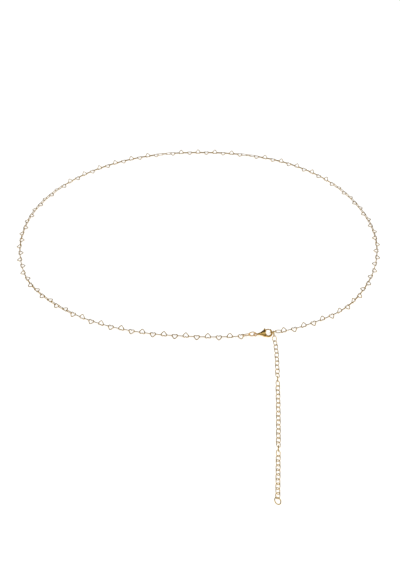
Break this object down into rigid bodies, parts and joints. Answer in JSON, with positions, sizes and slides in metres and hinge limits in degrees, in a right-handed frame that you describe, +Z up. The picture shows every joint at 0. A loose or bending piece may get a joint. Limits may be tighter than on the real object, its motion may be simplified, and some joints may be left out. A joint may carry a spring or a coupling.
{
  "type": "waist chain",
  "caption": "Fine gold waist chain of heart links and ovals, closed by a lobster clasp, with a free tail of short oval links.",
  "frame": {"origin": "middle of the waist loop, on the surface that the chain lies on", "axes": "+Z up, +Y from the clasp at the front of the loop towards its back, +X to the right, where the clasp's nose points"},
  "size_m": [0.2537, 0.3083, 0.0046],
  "materials": {
    "chain_gold": "polished gold plate",
    "pale_gold": "polished pale gold plate",
    "bright_gold": "high polished gold plate"
  },
  "bodies": {
    "chain": {"left_chain": "chain_gold", "right_chain": "chain_gold", "extender_chain": "pale_gold", "end_ring": "pale_gold", "hook_ring": "chain_gold", "eye_ring": "bright_gold", "oval_jump_ring": "bright_gold", "clasp_body": "bright_gold"},
    "lever": {"clasp_lever": "bright_gold"}
  },
  "joints": [
    {"name": "lever_hinge", "type": "hinge", "parent": "chain", "child": "lever", "pos_m": [0.04108, -0.09394, 0.00218], "axis": [-0.0682, 0.4171, -0.9063], "range_deg": [0, 26], "stiffness_Nm_per_rad": 0.0004}
  ]
}
